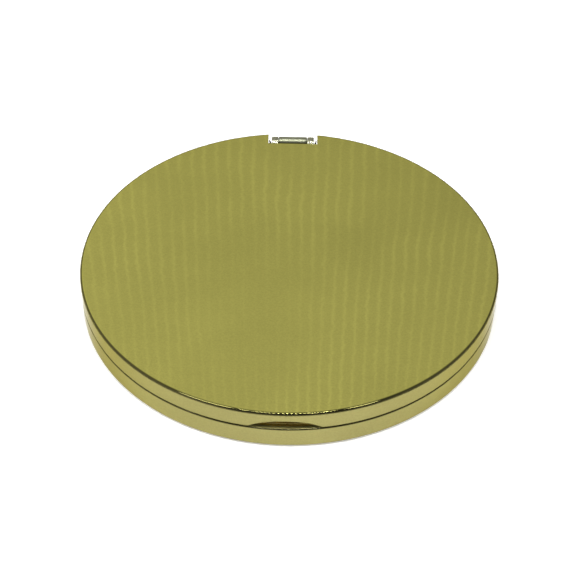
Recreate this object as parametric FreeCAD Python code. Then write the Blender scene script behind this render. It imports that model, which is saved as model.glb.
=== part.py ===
"""A slim round powder compact: a drawn brass case 74 mm across and 7.9 mm thick, closed.

Frame: millimetres, +Z up, +X to the right, +Y towards the hinge. The origin is the centre of the
underside, so the case stands on Z = 0 and its thumb notch faces -Y.

The base shell holds a deck with an upstanding collar, a well with a refill pan of pressed powder, a
film, a puff, and the catch. The lid shell holds the mirror in a frame, the hinge leaf and the hook.
The lid turns about a pin that lies in a notch at the back of the case.
"""

import FreeCAD
import Part

import math
import os

V = FreeCAD.Vector
Z_AXIS = V(0, 0, 1)
X_AXIS = V(1, 0, 0)

# ---- case -------------------------------------------------------------------------------------
CASE_RADIUS = 37.0
CASE_HEIGHT = 7.9
WALL = 0.8            # side walls of both shells
SHEET = 0.6           # flat top and bottom of the shells
BASE_RIM_Z = 4.3      # top edge of the base wall
SEAM_GAP = 0.16       # open joint between the two walls
LID_RIM_Z = BASE_RIM_Z + SEAM_GAP
INNER_RADIUS = CASE_RADIUS - WALL
LID_ROOF_Z = CASE_HEIGHT - SHEET
TOP_EDGE_RADIUS = 0.5
BOTTOM_EDGE_RADIUS = 0.9
BASE_RIM_EDGE_RADIUS = 0.3
LID_RIM_EDGE_RADIUS = 0.2
SOLDER_GAP = 0.02     # between soldered or seated pieces, so that faces never cross

# ---- thumb notch in the front of the lid wall ---------------------------------------------------
NOTCH_HALF_WIDTH = 6.1
NOTCH_HEIGHT = 1.66
NOTCH_SHOULDER = (3.6, 1.18)   # half width and height where the crown's arc meets the end arcs
NOTCH_BULGE = (5.0, 0.62)      # half width and height of a point on each end arc

# ---- hinge ----------------------------------------------------------------------------------------
HINGE_Y = 36.0
HINGE_Z = 6.4
KNUCKLE_RADIUS = 1.0
PIN_RADIUS = 0.45
PIN_CLEARANCE = 0.03
HINGE_HALF_LENGTH = 4.1
MID_KNUCKLE_HALF = 2.75
KNUCKLE_GAP = 0.06
HINGE_NOTCH_HALF = 4.72
HINGE_NOTCH_Y = 33.55          # inner edge of the notch in the lid's roof
LEAF = 0.4                     # thickness of the hinge leaves
PIN_EDGE_RADIUS = 0.1
STRAP_FOOT_Z = 0.8
STRAP_THROAT_GAP = 0.1         # from the pin down to where the strap meets the barrel
STRAP_HALF_WIDTH = 4.6
STRAP_SHOULDER_Z = 5.36        # the lid's stop lugs land here
EAR_X = (4.2, 4.6)             # the strap's ears stand outside the pin's ends and rise outwards
EAR_Z = (6.2, 7.1)
STOP_LUG_RADIUS = 1.12
STOP_LUG_ANGLES = (35.0, 42.0)  # degrees above the horizontal, about the pin

# ---- deck, collar and well in the base ------------------------------------------------------------
COLLAR_OUTER = 35.85
COLLAR_INNER = 35.25
COLLAR_TOP_Z = 4.5
COLLAR_GAP_DEGREES = 52.0      # the collar is left off over this angle at the hinge
DECK_TOP_Z = 4.2
DECK_THICKNESS = 0.5
WELL_OUTER = 30.5
WELL_INNER = 29.9
WELL_RIM_Z = 4.5
SPUN_EDGE_RADIUS = 0.12
STRAP_ROOM_Y = 35.2

# ---- what the well holds --------------------------------------------------------------------------
PAD_TOP_Z = 0.9
PAD_RADIUS = 28.5
PAN_RADIUS = 29.3
PAN_WALL = 0.35
PAN_TOP_Z = 3.4
PAN_EDGE_RADIUS = 0.5
POWDER_RADIUS = 28.85
POWDER_TOP_Z = 3.2
POWDER_EDGE_RADIUS = 0.3
RING_WIRE_RADIUS = 0.28
RING_RADIUS = 29.58
RING_GAP_DEGREES = 14.0
FILM_RADIUS = 28.7
FILM_Z = (3.5, 3.62)
PUFF_RADIUS = 28.5
PUFF_PAD_Z = (3.72, 5.2)
PUFF_EDGE_RADIUS = 0.5
PUFF_SEAM = 0.2                # each layer is this much smaller than the one below
PUFF_BACK_Z = (5.2, 5.45)
RIBBON_HALF_WIDTH = 7.5
RIBBON_Z = (5.45, 5.62)

# ---- mirror in the lid ------------------------------------------------------------------------------
FRAME_Z = (5.8, 6.05)
FRAME_LIP_RADIUS = 29.8
MIRROR_RADIUS = 30.5
MIRROR_TOP_Z = 7.05
MIRROR_EDGE_RADIUS = 0.15
BACKING_MARGIN = 0.3
FRAME_SEAT = (30.65, 31.0)
FRAME_SKIRT = (35.7, 36.1)
LEAF_INNER_RADIUS = 31.2
LEAF_OUTER_RADIUS = 35.5
LEAF_HALF_WIDTH = 8.5

# ---- catch at the front ---------------------------------------------------------------------------
HOOK_Y = (-34.3, -33.9)
HOOK_HALF_WIDTH = 2.5
HOOK_BOTTOM_Z = 2.5
BARB_Z = (2.5, 3.1)
BARB_FACE_Z = (2.9, 3.05)      # the upright nose between the barb's two slopes
BARB_REACH = 0.3
BARB_INSET = 0.6               # from the blade's sides
BARB_ROOT = 0.1                # how far the barb goes into the blade
HOOK_FOOT_Y = -31.9
HOOK_FOOT_Z = 5.55
SLOT_HALF_WIDTH = 2.9
SLOT_Y = (-34.95, -33.4)
SPRING_Y = (-35.05, -34.85)
SPRING_HALF_WIDTH = 2.2
SPRING_Z = (1.0, 3.45)
SPRING_LIP_Z = (3.17, 3.37)
SPRING_LIP_Y = -34.42
BRACKET_HALF_WIDTH = 3.4
BRACKET_Y = (-35.45, -32.2)
BRACKET_SHEET = 0.2
BRACKET_WALL_Z = 1.25
SPRING_PLAY = 0.08             # room each side of the spring's root, where it flexes
HOOK_RIVET_X = 1.6
HOOK_RIVET_Y = -32.75
RIVET_RADIUS = 0.3
RIVET_HEAD_RADIUS = 0.55
RIVET_HEAD = 0.22


# ---- helpers ----------------------------------------------------------------------------------------
def disc(radius, low, high):
    """A solid cylinder on the case's axis, from low to high."""
    return Part.makeCylinder(radius, high - low, V(0, 0, low), Z_AXIS)


def tube(outer, inner, low, high):
    """A ring on the case's axis."""
    return disc(outer, low, high).cut(disc(inner, low - 1, high + 1))


def wedge(radius, low, high, middle, degrees):
    """A sector of a disc that spreads evenly about the direction middle, in degrees from +X."""
    sector = Part.makeCylinder(radius, high - low, V(0, 0, low), Z_AXIS, degrees)
    sector.rotate(V(0, 0, 0), Z_AXIS, middle - degrees / 2)
    return sector


def block(x, y, z):
    """A box between two limits on each axis."""
    return Part.makeBox(x[1] - x[0], y[1] - y[0], z[1] - z[0], V(x[0], y[0], z[0]))


def both_ways(half):
    """Limits that lie evenly about zero."""
    return (-half, half)


def round_edges(shape, radius, wanted):
    """Rounds the edges that wanted() picks."""
    return shape.makeFillet(radius, [edge for edge in shape.Edges if wanted(edge)])


def circle_at(z, radius):
    """Picks an edge that lies at height z and at that radius from the case's axis."""

    def wanted(edge):
        box = edge.BoundBox
        if box.ZMax - box.ZMin > 1e-4 or abs(box.ZMax - z) > 1e-4:
            return False
        middle = edge.valueAt((edge.FirstParameter + edge.LastParameter) / 2)
        return abs(math.hypot(middle.x, middle.y) - radius) < 1e-3

    return wanted


def knuckle(low, high, bore):
    """One barrel of the hinge, from x = low to x = high."""
    start = V(low, HINGE_Y, HINGE_Z)
    barrel = Part.makeCylinder(KNUCKLE_RADIUS, high - low, start, X_AXIS)
    return barrel.cut(Part.makeCylinder(bore, high - low, start, X_AXIS))


def rivet(x, y, low, high):
    """A rivet that clamps the sheets between low and high, with a rounded head at each end."""
    body = Part.makeCylinder(RIVET_RADIUS, high - low, V(x, y, low), Z_AXIS)
    for face_z, way in ((low, -1), (high, 1)):
        head = Part.makeCylinder(RIVET_HEAD_RADIUS, RIVET_HEAD, V(x, y, face_z), V(0, 0, way))
        crown_z = face_z + way * RIVET_HEAD
        flat = [e for e in head.Edges if e.BoundBox.ZLength < 1e-4]
        crown = [e for e in flat if abs(e.BoundBox.ZMin - crown_z) < 1e-3]
        body = body.fuse(head.makeFillet(RIVET_HEAD / 2, crown))
    return body.removeSplitter()


def rivet_holes():
    """Cutters for the holes that the hook's rivets go through."""
    low = HOOK_FOOT_Z - 1
    depth = FRAME_Z[1] + 1 - low
    holes = [Part.makeCylinder(RIVET_RADIUS, depth, V(x, HOOK_RIVET_Y, low), Z_AXIS)
             for x in both_ways(HOOK_RIVET_X)]
    return Part.makeCompound(holes)


# ---- base ---------------------------------------------------------------------------------------------
def base_shell():
    body = disc(CASE_RADIUS, 0, BASE_RIM_Z)
    body = round_edges(body, BOTTOM_EDGE_RADIUS, circle_at(0, CASE_RADIUS))
    body = round_edges(body, BASE_RIM_EDGE_RADIUS, circle_at(BASE_RIM_Z, CASE_RADIUS))
    return body.cut(disc(INNER_RADIUS, SHEET, BASE_RIM_Z + 1))


def inner_frame():
    """Deck, collar, outer flange and well wall, spun in one piece."""
    deck_low = DECK_TOP_Z - DECK_THICKNESS
    collar = tube(COLLAR_OUTER, COLLAR_INNER, deck_low, COLLAR_TOP_Z)
    for radius in (COLLAR_OUTER, COLLAR_INNER):
        collar = round_edges(collar, SPUN_EDGE_RADIUS, circle_at(COLLAR_TOP_Z, radius))
    well = tube(WELL_OUTER, WELL_INNER, SHEET, WELL_RIM_Z)
    for radius in (WELL_OUTER, WELL_INNER):
        well = round_edges(well, SPUN_EDGE_RADIUS, circle_at(WELL_RIM_Z, radius))
    behind = wedge(CASE_RADIUS, DECK_TOP_Z, COLLAR_TOP_Z + 1, 90, COLLAR_GAP_DEGREES)
    deck = tube(INNER_RADIUS - SOLDER_GAP, WELL_INNER, deck_low, DECK_TOP_Z)
    frame = deck.fuse([collar.cut(behind), well]).removeSplitter()
    strap_half = STRAP_HALF_WIDTH + 0.1
    strap_room = block(both_ways(strap_half), (STRAP_ROOM_Y, CASE_RADIUS), (deck_low - 1, DECK_TOP_Z + 1))
    hook_slot = block(both_ways(SLOT_HALF_WIDTH), SLOT_Y, (deck_low - 1, DECK_TOP_Z + 1))
    return frame.cut(strap_room).cut(hook_slot)


def base_hinge_leaf():
    """A strap soldered inside the base wall, rising to the middle knuckle and to an ear at each side."""
    throat_z = HINGE_Z - PIN_RADIUS - STRAP_THROAT_GAP
    ear_low, ear_high = EAR_Z
    outline = [
        (STRAP_HALF_WIDTH, STRAP_FOOT_Z), (STRAP_HALF_WIDTH, ear_high), (EAR_X[0], ear_low),
        (EAR_X[0], STRAP_SHOULDER_Z), (MID_KNUCKLE_HALF, STRAP_SHOULDER_Z), (MID_KNUCKLE_HALF, throat_z),
    ]
    outline += [(-x, z) for x, z in reversed(outline)]
    corners = [V(x, 0, z) for x, z in outline + outline[:1]]
    front_view = Part.Face(Part.makePolygon(corners)).extrude(V(0, CASE_RADIUS, 0))
    outer = INNER_RADIUS - SOLDER_GAP
    strap = tube(outer, outer - LEAF, STRAP_FOOT_Z, CASE_HEIGHT).common(front_view)
    barrel = knuckle(-MID_KNUCKLE_HALF, MID_KNUCKLE_HALF, PIN_RADIUS)
    return strap.fuse(barrel).removeSplitter()


def hinge_pin():
    start = V(-HINGE_HALF_LENGTH, HINGE_Y, HINGE_Z)
    pin = Part.makeCylinder(PIN_RADIUS, 2 * HINGE_HALF_LENGTH, start, X_AXIS)
    return pin.makeFillet(PIN_EDGE_RADIUS, [e for e in pin.Edges if e.BoundBox.XLength < 1e-4])


# ---- what the well holds ----------------------------------------------------------------------------
def pan_pad():
    return disc(PAD_RADIUS, SHEET, PAD_TOP_Z)


def refill_pan():
    pan = disc(PAN_RADIUS, PAD_TOP_Z, PAN_TOP_Z)
    pan = round_edges(pan, PAN_EDGE_RADIUS, circle_at(PAD_TOP_Z, PAN_RADIUS))
    return pan.cut(disc(PAN_RADIUS - PAN_WALL, PAD_TOP_Z + PAN_WALL, PAN_TOP_Z + 1))


def pressed_powder():
    cake = disc(POWDER_RADIUS, PAD_TOP_Z + PAN_WALL, POWDER_TOP_Z)
    return round_edges(cake, POWDER_EDGE_RADIUS, circle_at(POWDER_TOP_Z, POWDER_RADIUS))


def retaining_ring():
    """A split wire ring sprung into the well above the pan's rim."""
    z = PAN_TOP_Z + RING_WIRE_RADIUS
    ring = Part.makeTorus(RING_RADIUS, RING_WIRE_RADIUS, V(0, 0, z), Z_AXIS)
    return ring.cut(wedge(PAN_RADIUS + 1, z - 1, z + 1, -90, RING_GAP_DEGREES))


def powder_film():
    return disc(FILM_RADIUS, *FILM_Z)


def puff_pad():
    pad = disc(PUFF_RADIUS, *PUFF_PAD_Z)
    return round_edges(pad, PUFF_EDGE_RADIUS, circle_at(PUFF_PAD_Z[0], PUFF_RADIUS))


def puff_back():
    return disc(PUFF_RADIUS - PUFF_SEAM, *PUFF_BACK_Z)


def puff_ribbon():
    band = block(both_ways(PUFF_RADIUS), both_ways(RIBBON_HALF_WIDTH), RIBBON_Z)
    return band.common(disc(PUFF_RADIUS - 2 * PUFF_SEAM, *RIBBON_Z))


# ---- catch --------------------------------------------------------------------------------------------
def catch_bracket():
    """A foot soldered to the floor, with a channel that grips the root of the spring."""
    bracket = block(both_ways(BRACKET_HALF_WIDTH), BRACKET_Y, (SHEET, SHEET + BRACKET_SHEET))
    front = SPRING_Y[0] - SPRING_PLAY
    rear = SPRING_Y[1] + SPRING_PLAY
    for wall in ((front - BRACKET_SHEET, front), (rear, rear + BRACKET_SHEET)):
        bracket = bracket.fuse(block(both_ways(SPRING_HALF_WIDTH), wall, (SHEET, BRACKET_WALL_Z)))
    return bracket.removeSplitter()


def catch_spring():
    """An upright leaf whose lip reaches over the hook's barb."""
    leaf = block(both_ways(SPRING_HALF_WIDTH), SPRING_Y, SPRING_Z)
    lip_y = (SPRING_Y[1] - 0.1, SPRING_LIP_Y)
    lip = block(both_ways(SPRING_HALF_WIDTH), lip_y, SPRING_LIP_Z)
    tip = [e for e in lip.Edges if abs(e.BoundBox.YMin - SPRING_LIP_Y) < 1e-4 and e.BoundBox.XLength > 1]
    return leaf.fuse(lip.makeFillet(0.07, tip)).removeSplitter()


def lid_catch_hook():
    """A foot on the mirror frame, and a blade with a barb that goes down through the deck's slot."""
    foot = block(both_ways(HOOK_HALF_WIDTH), (HOOK_Y[0], HOOK_FOOT_Y), (HOOK_FOOT_Z, FRAME_Z[0]))
    blade = block(both_ways(HOOK_HALF_WIDTH), HOOK_Y, (HOOK_BOTTOM_Z, FRAME_Z[0]))
    root_y, face_y, nose_y = HOOK_Y[0] + BARB_ROOT, HOOK_Y[0], HOOK_Y[0] - BARB_REACH
    points = [(root_y, BARB_Z[0]), (face_y, BARB_Z[0]), (nose_y, BARB_FACE_Z[0]), (nose_y, BARB_FACE_Z[1]),
              (face_y, BARB_Z[1]), (root_y, BARB_Z[1])]
    barb_half = HOOK_HALF_WIDTH - BARB_INSET
    wire = Part.makePolygon([V(-barb_half, y, z) for y, z in points + points[:1]])
    barb = Part.Face(wire).extrude(V(2 * barb_half, 0, 0))
    return foot.fuse(blade).fuse(barb).removeSplitter().cut(rivet_holes())


def hook_rivets():
    pair = [rivet(x, HOOK_RIVET_Y, HOOK_FOOT_Z, FRAME_Z[1]) for x in both_ways(HOOK_RIVET_X)]
    return Part.makeCompound(pair)


# ---- lid ----------------------------------------------------------------------------------------------
def thumb_notch():
    """A cutter for the shallow arched notch at the foot of the lid wall."""
    low = LID_RIM_Z - 0.5
    wide, high = NOTCH_SHOULDER
    ends = [V(s * NOTCH_HALF_WIDTH, 0, LID_RIM_Z) for s in (-1, 1)]
    shoulders = [V(s * wide, 0, LID_RIM_Z + high) for s in (-1, 1)]
    crown = V(0, 0, LID_RIM_Z + NOTCH_HEIGHT)
    bulge = [V(s * NOTCH_BULGE[0], 0, LID_RIM_Z + NOTCH_BULGE[1]) for s in (-1, 1)]
    edges = [
        Part.Arc(ends[0], bulge[0], shoulders[0]).toShape(),
        Part.Arc(shoulders[0], crown, shoulders[1]).toShape(),
        Part.Arc(shoulders[1], bulge[1], ends[1]).toShape(),
        Part.makeLine(ends[1], V(NOTCH_HALF_WIDTH, 0, low)),
        Part.makeLine(V(NOTCH_HALF_WIDTH, 0, low), V(-NOTCH_HALF_WIDTH, 0, low)),
        Part.makeLine(V(-NOTCH_HALF_WIDTH, 0, low), ends[0]),
    ]
    return Part.Face(Part.Wire(edges)).extrude(V(0, -CASE_RADIUS - 2, 0))


def hinge_notch(half, inner_y, low=0):
    return block(both_ways(half), (inner_y, CASE_RADIUS + 1), (low, CASE_HEIGHT + 1))


def lid_shell():
    body = disc(CASE_RADIUS, LID_RIM_Z, CASE_HEIGHT)
    body = round_edges(body, TOP_EDGE_RADIUS, circle_at(CASE_HEIGHT, CASE_RADIUS))
    body = round_edges(body, LID_RIM_EDGE_RADIUS, circle_at(LID_RIM_Z, CASE_RADIUS))
    body = body.cut(disc(INNER_RADIUS, LID_RIM_Z - 1, LID_ROOF_Z))
    body = body.cut(thumb_notch())
    return body.cut(hinge_notch(HINGE_NOTCH_HALF, HINGE_NOTCH_Y))


def mirror_frame():
    """A stamped ring: lip under the mirror's edge, seat round it, and a skirt against the lid wall."""
    ring = tube(FRAME_SKIRT[1], FRAME_LIP_RADIUS, *FRAME_Z)
    ring = round_edges(ring, SPUN_EDGE_RADIUS, circle_at(FRAME_Z[0], FRAME_LIP_RADIUS))
    seat_top = LID_ROOF_Z - LEAF - SOLDER_GAP
    ring = ring.fuse(tube(FRAME_SEAT[1], FRAME_SEAT[0], FRAME_Z[0], seat_top))
    ring = ring.fuse(tube(FRAME_SKIRT[1], FRAME_SKIRT[0], FRAME_Z[0], LID_ROOF_Z - SOLDER_GAP))
    ring = ring.removeSplitter().cut(rivet_holes())
    return ring.cut(hinge_notch(HINGE_NOTCH_HALF + 0.2, HINGE_NOTCH_Y - 0.35))


def mirror():
    glass = disc(MIRROR_RADIUS, FRAME_Z[1], MIRROR_TOP_Z)
    return round_edges(glass, MIRROR_EDGE_RADIUS, circle_at(FRAME_Z[1], MIRROR_RADIUS))


def mirror_backing():
    return disc(MIRROR_RADIUS - BACKING_MARGIN, MIRROR_TOP_Z, LID_ROOF_Z - SOLDER_GAP)


def lid_hinge_leaf():
    """A curved plate soldered under the roof, with two tabs that carry the outer knuckles."""
    z = (LID_ROOF_Z - SOLDER_GAP - LEAF, LID_ROOF_Z - SOLDER_GAP)
    plate = tube(LEAF_OUTER_RADIUS, LEAF_INNER_RADIUS, *z)
    plate = plate.common(block(both_ways(LEAF_HALF_WIDTH), (20, CASE_RADIUS), (0, CASE_HEIGHT)))
    plate = plate.cut(hinge_notch(HINGE_NOTCH_HALF + 0.1, HINGE_NOTCH_Y - 0.45))
    inner = MID_KNUCKLE_HALF + KNUCKLE_GAP
    for side in (-1, 1):
        low, high = sorted((side * inner, side * HINGE_HALF_LENGTH))
        tab = block((low, high), (HINGE_NOTCH_Y - 1.2, HINGE_Y), z)
        solid_barrel = Part.makeCylinder(KNUCKLE_RADIUS, high - low, V(low, HINGE_Y, HINGE_Z), X_AXIS)
        barrel = knuckle(low, high, PIN_RADIUS + PIN_CLEARANCE)
        plate = plate.fuse(tab.cut(solid_barrel)).fuse(barrel).fuse(stop_lug(low, high))
    return plate.removeSplitter()


def stop_lug(low, high):
    """A rib along an outer knuckle that lands on the strap's shoulder when the lid is fully open."""

    def polar(radius, degrees):
        angle = math.radians(degrees)
        return V(low, HINGE_Y + radius * math.cos(angle), HINGE_Z + radius * math.sin(angle))

    inside = KNUCKLE_RADIUS - 0.1
    first, last = STOP_LUG_ANGLES
    corners = [polar(inside, first), polar(STOP_LUG_RADIUS, first), polar(STOP_LUG_RADIUS, last),
               polar(inside, last)]
    return Part.Face(Part.makePolygon(corners + corners[:1])).extrude(V(high - low, 0, 0))


PIECES = (
    base_shell, inner_frame, base_hinge_leaf, hinge_pin, pan_pad, refill_pan, pressed_powder,
    retaining_ring, powder_film, puff_pad, puff_back, puff_ribbon, catch_bracket, catch_spring,
    lid_shell, mirror_frame, mirror, mirror_backing, lid_hinge_leaf, lid_catch_hook, hook_rivets,
)

os.makedirs("parts", exist_ok=True)
for build_piece in PIECES:
    shape = build_piece()
    name = build_piece.__name__
    shape.exportStep(f"parts/{name}.step")
    print(name, "valid" if shape.isValid() else "NOT VALID", len(shape.Solids), round(shape.Volume, 2))
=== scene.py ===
"""The looks of the powder compact: fine meshes, materials, soft pieces, floor, light and camera.

Metres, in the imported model's frame: +Z up, +Y towards the hinge, the underside at Z = 0.
The polished pieces are turned again here as finer meshes of the same shape as their CAD nodes,
because a polished surface shows the facets of a coarse one.
"""

import math

import bmesh
import bpy
from mathutils import Matrix, Vector, noise


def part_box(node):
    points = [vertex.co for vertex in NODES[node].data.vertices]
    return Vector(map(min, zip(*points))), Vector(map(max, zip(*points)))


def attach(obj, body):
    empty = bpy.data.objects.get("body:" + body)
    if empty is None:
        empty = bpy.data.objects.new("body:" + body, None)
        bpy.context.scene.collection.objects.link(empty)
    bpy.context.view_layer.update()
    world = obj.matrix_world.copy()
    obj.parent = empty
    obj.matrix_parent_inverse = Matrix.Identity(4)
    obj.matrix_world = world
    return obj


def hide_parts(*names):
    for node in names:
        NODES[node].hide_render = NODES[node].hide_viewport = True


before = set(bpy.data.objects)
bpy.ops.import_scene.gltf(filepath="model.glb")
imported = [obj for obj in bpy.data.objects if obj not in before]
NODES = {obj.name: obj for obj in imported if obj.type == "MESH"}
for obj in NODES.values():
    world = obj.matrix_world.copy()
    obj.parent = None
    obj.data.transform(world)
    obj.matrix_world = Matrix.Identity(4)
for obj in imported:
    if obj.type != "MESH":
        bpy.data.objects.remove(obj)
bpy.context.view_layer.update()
MM = 0.001

# ---- sizes from the frame ----
LID_LOW, LID_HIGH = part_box("lid_shell")
BASE_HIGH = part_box("base_shell")[1]
DECK_LOW, DECK_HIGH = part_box("inner_frame")
PAN_LOW, PAN_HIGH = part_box("refill_pan")
POWDER_LOW, POWDER_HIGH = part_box("pressed_powder")
FILM_LOW, FILM_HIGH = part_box("powder_film")
PUFF_LOW, PUFF_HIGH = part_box("puff_pad")
PUFF_BACK_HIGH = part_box("puff_back")[1]
RIBBON_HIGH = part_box("puff_ribbon")[1]
MIRROR_LOW, MIRROR_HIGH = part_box("mirror")
FRAME_LOW, FRAME_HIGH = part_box("mirror_frame")
RING_LOW, RING_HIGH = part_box("retaining_ring")
PIN_LOW, PIN_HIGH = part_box("hinge_pin")
CASE_RADIUS = BASE_HIGH.x
LID_TOP_Z = LID_HIGH.z

# ---- sheet metal, as the CAD has it ----
WALL = 0.8 * MM
SHEET = 0.6 * MM
INNER_RADIUS = CASE_RADIUS - WALL
TOP_EDGE = 0.5 * MM
BOTTOM_EDGE = 0.9 * MM
BASE_RIM_EDGE = 0.3 * MM
LID_RIM_EDGE = 0.14 * MM
INSIDE_EDGE = 0.15 * MM
ROOF_CORNER = 0.1 * MM  # inside the lid
FLOOR_CORNER = 0.3 * MM  # inside the base
RIM_INNER_EDGE = 0.06 * MM
SOLDER_GAP = 0.02 * MM
CUT_TOP_Z = 9 * MM  # cutters end above everything
HINGE_NOTCH_HALF = 4.72 * MM
HINGE_NOTCH_Y = 33.55 * MM
THUMB_HALF = 6.1 * MM
THUMB_HEIGHT = 1.66 * MM
THUMB_POWER = 2.35  # 2 is a parabola; more is fuller at the shoulders

# ---- hinge ----
HINGE_Y = (PIN_LOW.y + PIN_HIGH.y) / 2
HINGE_Z = (PIN_LOW.z + PIN_HIGH.z) / 2
PIN_RADIUS = (PIN_HIGH.z - PIN_LOW.z) / 2
HINGE_HALF = PIN_HIGH.x
KNUCKLE_RADIUS = 1.0 * MM
MID_KNUCKLE_HALF = 2.75 * MM
KNUCKLE_GAP = 0.06 * MM
KNUCKLE_EDGE = 0.22 * MM
BORE_EDGE = 0.04 * MM
BORE_ROOM = 0.03 * MM  # round the pin in the lid's knuckles
PIN_END_EDGE = 0.16 * MM
SADDLE_Z = HINGE_Z - PIN_RADIUS - 0.1 * MM  # the strap ends here, inside the middle knuckle
LEAF = 0.4 * MM
STRAP_HALF = 4.6 * MM
STRAP_RADIUS = INNER_RADIUS - SOLDER_GAP
EAR_X = 4.2 * MM
EAR_LOW_Z = 6.2 * MM
EAR_HIGH_Z = 7.1 * MM
SHOULDER_Z = 5.36 * MM
STRAP_FOOT_Z = 0.8 * MM
LEAF_PLATE = (31.2 * MM, 35.5 * MM)  # inner and outer radius of the plate under the roof
LEAF_PLATE_HALF = 8.5 * MM
LEAF_PLATE_NOTCH = (4.82 * MM, 33.1 * MM)
TAB_X = (MID_KNUCKLE_HALF + KNUCKLE_GAP, HINGE_HALF)
TAB_EDGE = 0.07 * MM
# A tab from the side, (y, z) in millimetres: from the plate up into the knuckle, and back below.
TAB_PROFILE = ((32.6, 7.27), (33.5, 7.2), (34.2, 6.86), (34.6, 6.94), (34.95, 7.12), (35.25, 7.3),
               (35.6, 7.38), (35.6, 6.98), (35.0, 6.7), (34.3, 6.5), (33.5, 6.84), (32.6, 6.9))

# ---- inside ----
DECK_Z = (3.7 * MM, 4.2 * MM)
COLLAR = (35.25 * MM, 35.85 * MM)
COLLAR_OPEN = 26.0  # degrees each side of the hinge without a collar
WELL = (29.9 * MM, 30.5 * MM)
SPUN_EDGE = 0.12 * MM
DECK_BEND = 0.1 * MM
COLLAR_ROOT = 0.05 * MM
WELL_ROOT = 0.08 * MM
HOOK_SLOT = (2.9 * MM, -34.95 * MM, -33.4 * MM)
STRAP_ROOM_Y = 35.2 * MM
STRAP_ROOM_HALF = STRAP_HALF + 0.1 * MM
PAN_WALL = 0.35 * MM
PAN_BOTTOM_EDGE = 0.5 * MM
PAN_RIM_EDGE = 0.17 * MM
PAN_CORNER = 0.3 * MM
MIRROR_EDGES = (0.15 * MM, 0.08 * MM)  # seen side, hidden side
FRAME_LIP = 29.8 * MM
FRAME_FLANGE_ROW = 33.2 * MM  # a row of points halfway out on the flat flange
FRAME_SEAT = (30.65 * MM, 31.0 * MM)
FRAME_SKIRT = 35.7 * MM
FRAME_SHEET = 0.25 * MM
FRAME_SEAT_TOP = 6.88 * MM
FRAME_BEND = 0.05 * MM
FRAME_NOTCH_ROOM = (0.2 * MM, 0.35 * MM)  # round the hinge notch, sideways and forwards
RING_WIRE = (RING_HIGH.z - RING_LOW.z) / 2
RING_GAP = 7.0  # degrees each side of the front
FILM_HALF = 0.02 * MM

# ---- mesh density ----
COLUMNS = 480  # of a turned piece
TURN_STEP = 0.75  # degrees between columns away from a fine front
FINE_STEP = 0.15  # the same across the thumb notch
FINE_HALF = 11.0  # degrees each side of the front that are fine
ARC_STEPS = 8  # facets in a rounded edge
BARREL_COLUMNS = 96
PIN_COLUMNS = 64
STRAP_STEPS = 6  # points across half the strap
PLATE_STEPS = 12  # points across half the lid leaf's plate
CAKE_ROWS = 90
FILM_ROWS = 50
RING_STEPS = 360
RING_AROUND = 20
RING_DOME = 5  # rows of each rounded end

# ---- camera ----
CAMERA_DISTANCE = 275.4 * MM  # from the centre of the lid's top
CAMERA_ELEVATION = math.radians(42.0)
CAMERA_AZIMUTH = math.radians(0.62)
CAMERA_ROLL = math.radians(0.66)
LOOK_LOWER = math.radians(1.111)  # the lens points this far below the lid's centre
LOOK_RIGHT = math.radians(0.031)
LENS_MM = 96.35
SENSOR_MM = 36.0


# ---- meshes ----
def add_object(name, mesh):
    piece = bpy.data.objects.new(name, mesh)
    bpy.context.scene.collection.objects.link(piece)
    return piece


def object_from(name, builder):
    """A mesh object from a bmesh, which is freed."""
    mesh = bpy.data.meshes.new(name)
    bmesh.ops.recalc_face_normals(builder, faces=builder.faces)
    builder.to_mesh(mesh)
    builder.free()
    return add_object(name, mesh)


def rounded(corners, steps=ARC_STEPS):
    """An outline of (r, z) points from (r, z, radius) corners, each corner turned into an arc."""
    outline = []
    count = len(corners)
    for index, (r, z, radius) in enumerate(corners):
        here = Vector((r, z))
        before = Vector(corners[index - 1][:2]) - here
        after = Vector(corners[(index + 1) % count][:2]) - here
        if radius <= 0:
            outline.append(here)
            continue
        before.normalize()
        after.normalize()
        half = before.angle(after) / 2
        reach = radius / math.tan(half)
        start = here + before * reach
        end = here + after * reach
        centre = here + (before + after).normalized() * (radius / math.sin(half))
        first, last = (start - centre).normalized(), (end - centre).normalized()
        outline += [centre + first.slerp(last, step / steps) * radius for step in range(steps + 1)]
    return outline


def turn_angles(columns, fine_front):
    """Angles of a turned piece's columns, in degrees from the front, closer together at the front."""
    if not fine_front:
        return [360 * i / columns for i in range(columns)]
    fine = round(2 * FINE_HALF / FINE_STEP)
    coarse = round((360 - 2 * FINE_HALF) / TURN_STEP)
    near = [-FINE_HALF + FINE_STEP * i for i in range(fine)]
    return near + [FINE_HALF + (360 - 2 * FINE_HALF) * i / coarse for i in range(coarse)]


def turned(name, outline, fine_front=False, shape=None, columns=COLUMNS):
    """A solid of revolution from a closed (r, z) outline. shape(x, y, z) may move a point's z."""
    builder = bmesh.new()
    rings = []
    for degrees in turn_angles(columns, fine_front):
        angle = math.radians(degrees)
        column = []
        for r, z in outline:
            x, y = r * math.sin(angle), -r * math.cos(angle)
            height = shape(x, y, z) if shape else z
            column.append(builder.verts.new((x, y, height)))
        rings.append(column)
    rows = len(outline)
    for index, column in enumerate(rings):
        other = rings[(index + 1) % len(rings)]
        for row in range(rows):
            below = (row + 1) % rows
            if outline[row][0] == 0 and outline[below][0] == 0:
                continue
            corners = [column[row], column[below], other[below], other[row]]
            builder.faces.new(corners)
    bmesh.ops.remove_doubles(builder, verts=builder.verts, dist=MM * 1e-4)
    bmesh.ops.dissolve_degenerate(builder, edges=builder.edges, dist=MM * 1e-4)
    return object_from(name, builder)


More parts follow.
